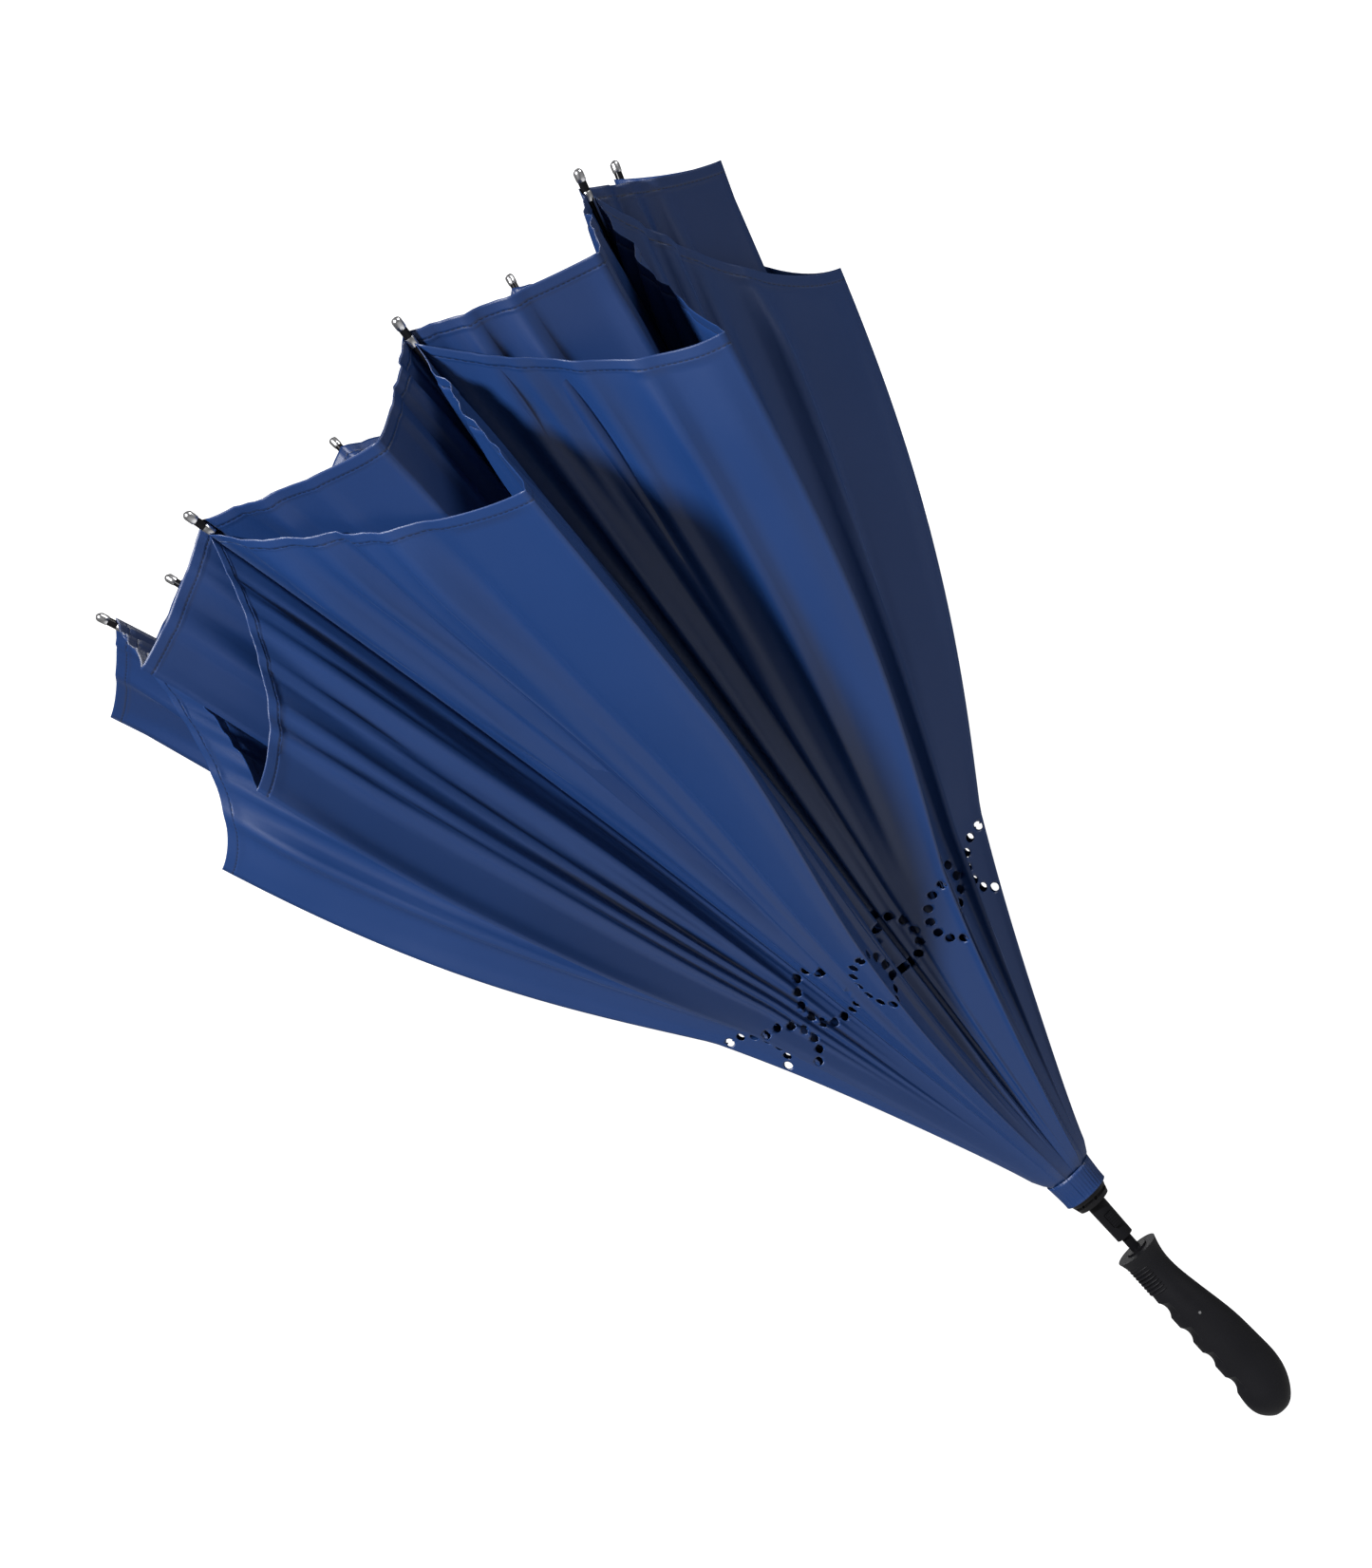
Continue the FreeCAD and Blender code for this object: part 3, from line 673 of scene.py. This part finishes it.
class UMBRELLA_OT_gathers(bpy.types.Operator):
    """Gathered cloth at the runner's cup and under the top cap"""

    bl_idname = "umbrella.gathers"
    bl_label = "Gathers"

    def execute(self, context):
        self.lining_collar()
        self.canopy_rosette()
        return {"FINISHED"}

    def lining_collar(self):
        """Petals from the clamp ring up to the lining: radius grows with height, rippled round the ring."""
        low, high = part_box("lining_clamp")
        ring = high.x + 0.0005
        for k in range(1, RIBS + 1):
            up, turn = np.meshgrid(np.linspace(0, 1, 12), np.linspace(-1, 1, 19), indexing="ij")
            on_rib, heading = rib_line(COLLAR_REACH * up)
            radius = ring + (on_rib[..., 0] + COLLAR_OUTSET - ring) * up
            radius = radius + COLLAR_RIPPLE * up * (1 - up) * np.cos(turn * math.pi * 5)
            height = low.z + (on_rib[..., 2] - low.z) * up
            azimuth = turn * HALF_STEP * COLLAR_LAP
            points = np.stack([radius * np.cos(azimuth), radius * np.sin(azimuth), height], axis=-1)
            flat = about_z(points.reshape(-1, 3), 2 * HALF_STEP * (k - 1))
            uv = np.stack([radius * azimuth, height], axis=-1).reshape(-1, 2)
            obj = mesh_object("lining_collar_%d" % k, flat, grid_quads(12, 19), uv,
                              {"hem_distance": np.full(flat.shape[0], 1.0)})
            add_thickness(obj, settings().umbrella_cloth.thickness)
            obj.data.materials.append(finish_named("Pongee lining"))
            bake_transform(obj)
            mesh_area(obj)

    def canopy_rosette(self):
        """Petals from the washer out along each stretcher, rippled, each on its own stretcher."""
        way = np.array((LINK - NOTCH).normalized())
        for k in range(1, RIBS + 1):
            out, turn = np.meshgrid(np.linspace(0, 1, 18), np.linspace(-1, 1, 21), indexing="ij")
            reach = ROSETTE_START + ROSETTE_REACH * out
            half_width = (ROSETTE_ROOT + reach) * math.tan(HALF_STEP)
            ripple = ROSETTE_RIPPLE * np.cos(turn * math.pi * 3) * out
            lift = ROSETTE_LIFT + ripple - ROSETTE_SAG * (turn * out) ** 2
            normal = np.array([-way[2], 0, way[0]])
            normal = normal if normal[2] > 0 else -normal
            points = np.array(NOTCH) + way * reach[..., None] + normal * lift[..., None]
            points[..., 1] += turn * half_width
            flat = about_z(points.reshape(-1, 3), 2 * HALF_STEP * (k - 1))
            uv = np.stack([turn * half_width, reach], axis=-1).reshape(-1, 2)
            obj = mesh_object("canopy_rosette_%d" % k, flat, grid_quads(18, 21), uv,
                              {"hem_distance": np.full(flat.shape[0], 1.0)})
            add_thickness(obj, settings().umbrella_cloth.thickness)
            obj.data.materials.append(finish_named("Pongee canopy"))
            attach(obj, "stretcher_%d" % k)
            mesh_area(obj)


def mesh_area(obj):
    areas = np.zeros(len(obj.data.polygons))
    obj.data.polygons.foreach_get("area", areas)
    return float(areas.sum())


# ---- frame and grip -------------------------------------------------------------------------------
def revolved(name, profile, start, way, sides=28):
    """A closed surface of revolution: profile rows of (radius, height), about the line start + way."""
    profile = np.asarray(profile, float)
    way = np.array(Vector(way).normalized())
    first = np.cross(way, [0, 1, 0])
    first = first / np.linalg.norm(first)
    second = np.cross(way, first)
    turn = np.linspace(0, math.tau, sides, endpoint=False)
    ring = np.cos(turn)[:, None] * first + np.sin(turn)[:, None] * second
    points = np.array(start) + profile[:, 1, None, None] * way + profile[:, 0, None, None] * ring
    return mesh_object(name, points.reshape(-1, 3), ring_quads(len(profile), sides))


class UMBRELLA_OT_rib_tips(bpy.types.Operator):
    """Rib tips: nickel plated ends with a neck, a shoulder and a domed head"""

    bl_idname = "umbrella.rib_tips"
    bl_label = "Rib tips"

    def execute(self, context):
        length = TIP_LENGTH
        end, heading = rib_line(np.array([settings().umbrella_cloth.rib_length - 0.001]))
        way = lean(heading)[0]
        start = end[0] - way * (length - TIP_LAP)
        turn = np.linspace(0, math.pi / 2, 8)
        head = [(TIP_HEAD * math.cos(a), length - TIP_HEAD + TIP_HEAD * math.sin(a)) for a in turn]
        head[-1] = (TIP_POINT, length)
        profile = [(TIP_POINT, 0), (0.0024, 0), (0.0027, 0.0006), (0.0027, 0.0062), (0.0022, 0.0070),
                   (0.0022, 0.0120), (0.0029, 0.0130), (0.0030, 0.0150)] + head
        for k in range(1, RIBS + 1):
            turned = about_z(np.stack([start, way]), 2 * HALF_STEP * (k - 1))
            tip = revolved("rib_tip_%d" % k, profile, turned[0], turned[1])
            merge_and_face_out(tip)
            tip.data.materials.append(finish_named("Nickel plate"))
            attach(tip, "rib_%d" % k)
        return {"FINISHED"}


class UMBRELLA_OT_grip_ridges(bpy.types.Operator):
    """Fine ridges moulded round the finger side of the grip, under its mouth"""

    bl_idname = "umbrella.grip_ridges"
    bl_label = "Grip ridges"

    def execute(self, context):
        """Each ridge is a half ring: a round bead carried along an arc, tapering out at both ends."""
        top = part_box("handle_grip")[1].z
        turn, section = np.meshgrid(np.linspace(0, 1, 41), np.linspace(0, math.tau, 13), indexing="ij")
        azimuth = math.pi * (0.60 + 0.80 * turn)
        bead = BEAD * np.sin(math.pi * turn) ** BEAD_TAPER + TIP_POINT
        points, faces = [], []
        for i in range(RIDGES):
            level = top - RIDGE_DROP - RIDGE_PITCH * i
            radius = NECK_RADIUS + bead * np.cos(section)
            points.append(np.stack([NECK_X + radius * np.cos(azimuth), radius * np.sin(azimuth),
                                    level + bead * np.sin(section)], axis=-1).reshape(-1, 3))
            faces.append(grid_quads(*turn.shape) + i * turn.size)
        ridges = mesh_object("grip_ridges", np.concatenate(points), np.concatenate(faces))
        merge_and_face_out(ridges)
        ridges.data.materials.append(finish_named("Grip rubber"))
        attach(ridges, "stick")
        return {"FINISHED"}


def merge_and_face_out(obj):
    """Joins doubled points, closes what is open and turns every face outwards."""
    work = bmesh.new()
    work.from_mesh(obj.data)
    bmesh.ops.remove_doubles(work, verts=work.verts, dist=1e-6)
    bmesh.ops.holes_fill(work, edges=[e for e in work.edges if e.is_boundary])
    bmesh.ops.recalc_face_normals(work, faces=work.faces)
    work.to_mesh(obj.data)
    work.free()


class UMBRELLA_OT_frame_finishes(bpy.types.Operator):
    """Finishes of the shaft, runner, notch, ribs and stretchers"""

    bl_idname = "umbrella.frame_finishes"
    bl_label = "Frame finishes"

    def execute(self, context):
        finishes = {"shaft": "Black lacquer", "handle_grip": "Grip rubber", "handle_pin": "Nickel plate",
                    "canopy_washer": "Nickel plate"}
        for node, obj in frame["nodes"].items():
            finish = finishes.get(node, "Black nylon")
            if node.startswith(("rib_", "stretcher_")):
                finish = "Black lacquer"
            obj.data.materials.clear()
            obj.data.materials.append(finish_named(finish))
        return {"FINISHED"}


# ---- stage ----------------------------------------------------------------------------------------
class UMBRELLA_OT_stage(bpy.types.Operator):
    """Floor, soft lights and camera"""

    bl_idname = "umbrella.stage"
    bl_label = "Stage"

    def execute(self, context):
        self.camera()
        self.floor()
        self.lights()
        return {"FINISHED"}

    def camera(self):
        stage = settings().umbrella_stage
        a, e, roll = stage.azimuth, stage.elevation, stage.roll
        back = Vector((math.sin(a) * math.cos(e), -math.cos(a) * math.cos(e), math.sin(e)))
        right = Vector((math.cos(a), math.sin(a), 0))
        level_up = back.cross(right)
        up = level_up * math.cos(roll) + right * math.sin(roll)
        side = right * math.cos(roll) - level_up * math.sin(roll)
        target = Vector((0, 0, HUB.z + VIEW_CENTRE[0])) - right * VIEW_CENTRE[1]
        data = bpy.data.cameras.new("camera")
        data.sensor_width = 36.0
        data.lens = data.sensor_width * stage.distance / stage.view_height
        camera = bpy.data.objects.new("camera", data)
        bpy.context.scene.collection.objects.link(camera)
        place = target + back * stage.distance
        camera.matrix_world = Matrix((
            (side.x, up.x, back.x, place.x), (side.y, up.y, back.y, place.y),
            (side.z, up.z, back.z, place.z), (0, 0, 0, 1)))
        bpy.context.scene.camera = camera

    def floor(self):
        low = CAD_BOX[0].z - 1.6
        reach = 30.0
        points = [(-reach, -reach, low), (reach, -reach, low), (reach, reach, low), (-reach, reach, low)]
        floor = mesh_object("floor", points, [(0, 1, 2, 3)], smooth=False)
        material, tree, shader = new_material("Pale floor")
        shader.inputs["Base Color"].default_value = (0.80, 0.80, 0.80, 1)
        shader.inputs["Roughness"].default_value = 0.95
        shader.inputs["Specular IOR Level"].default_value = 0.0
        seen = tree.nodes.new("ShaderNodeLightPath")
        shader.inputs["Emission Color"].default_value = (1, 1, 1, 1)
        tree.links.new(seen.outputs["Is Camera Ray"], shader.inputs["Emission Strength"])
        floor.data.materials.append(material)

    def lights(self):
        world = bpy.data.worlds.new("studio")
        bpy.context.scene.world = world
        world.use_nodes = True
        background = world.node_tree.nodes["Background"]
        background.inputs["Color"].default_value = (1, 1, 1, 1)
        seen = world.node_tree.nodes.new("ShaderNodeLightPath")
        bright = math_node(world.node_tree, "MULTIPLY", seen.outputs["Is Camera Ray"], BACKDROP)
        strength = math_node(world.node_tree, "ADD", bright, AMBIENT)
        world.node_tree.links.new(strength, background.inputs["Strength"])
        bpy.context.scene.view_settings.view_transform = "Standard"
        middle = Vector((0, 0, HUB.z + 0.3))
        for name, offset, size, power in LIGHTS:
            data = bpy.data.lights.new(name, "AREA")
            data.shape, data.size, data.energy = "DISK", size, power
            light = bpy.data.objects.new(name, data)
            bpy.context.scene.collection.objects.link(light)
            light.location = middle + Vector(offset)
            light.rotation_euler = (-Vector(offset)).to_track_quat("-Z", "Y").to_euler()


class UMBRELLA_PT_panel(bpy.types.Panel):
    bl_label = "Umbrella"
    bl_idname = "UMBRELLA_PT_panel"
    bl_space_type = "VIEW_3D"
    bl_region_type = "UI"
    bl_category = "Umbrella"

    def draw(self, context):
        for operator in OPERATORS:
            self.layout.operator(operator.bl_idname)


GROUP_SETTINGS = {"umbrella_cloth": UmbrellaCloth, "umbrella_vents": UmbrellaVents,
                  "umbrella_finish": UmbrellaFinish, "umbrella_stage": UmbrellaStage}
OPERATORS = (UMBRELLA_OT_stage, UMBRELLA_OT_frame_finishes, UMBRELLA_OT_rib_tips, UMBRELLA_OT_grip_ridges,
             UMBRELLA_OT_lining, UMBRELLA_OT_canopy, UMBRELLA_OT_gathers)


def register():
    for cls in (*GROUP_SETTINGS.values(), *OPERATORS, UMBRELLA_PT_panel):
        bpy.utils.register_class(cls)
    for name, cls in GROUP_SETTINGS.items():
        setattr(bpy.types.Scene, name, PointerProperty(type=cls))


def unregister():
    for name in GROUP_SETTINGS:
        delattr(bpy.types.Scene, name)
    for cls in reversed((*GROUP_SETTINGS.values(), *OPERATORS, UMBRELLA_PT_panel)):
        bpy.utils.unregister_class(cls)


def main():
    register()
    for operator in OPERATORS:
        group, call = operator.bl_idname.split(".")
        getattr(getattr(bpy.ops, group), call)()


if __name__ == "__main__":
    main()
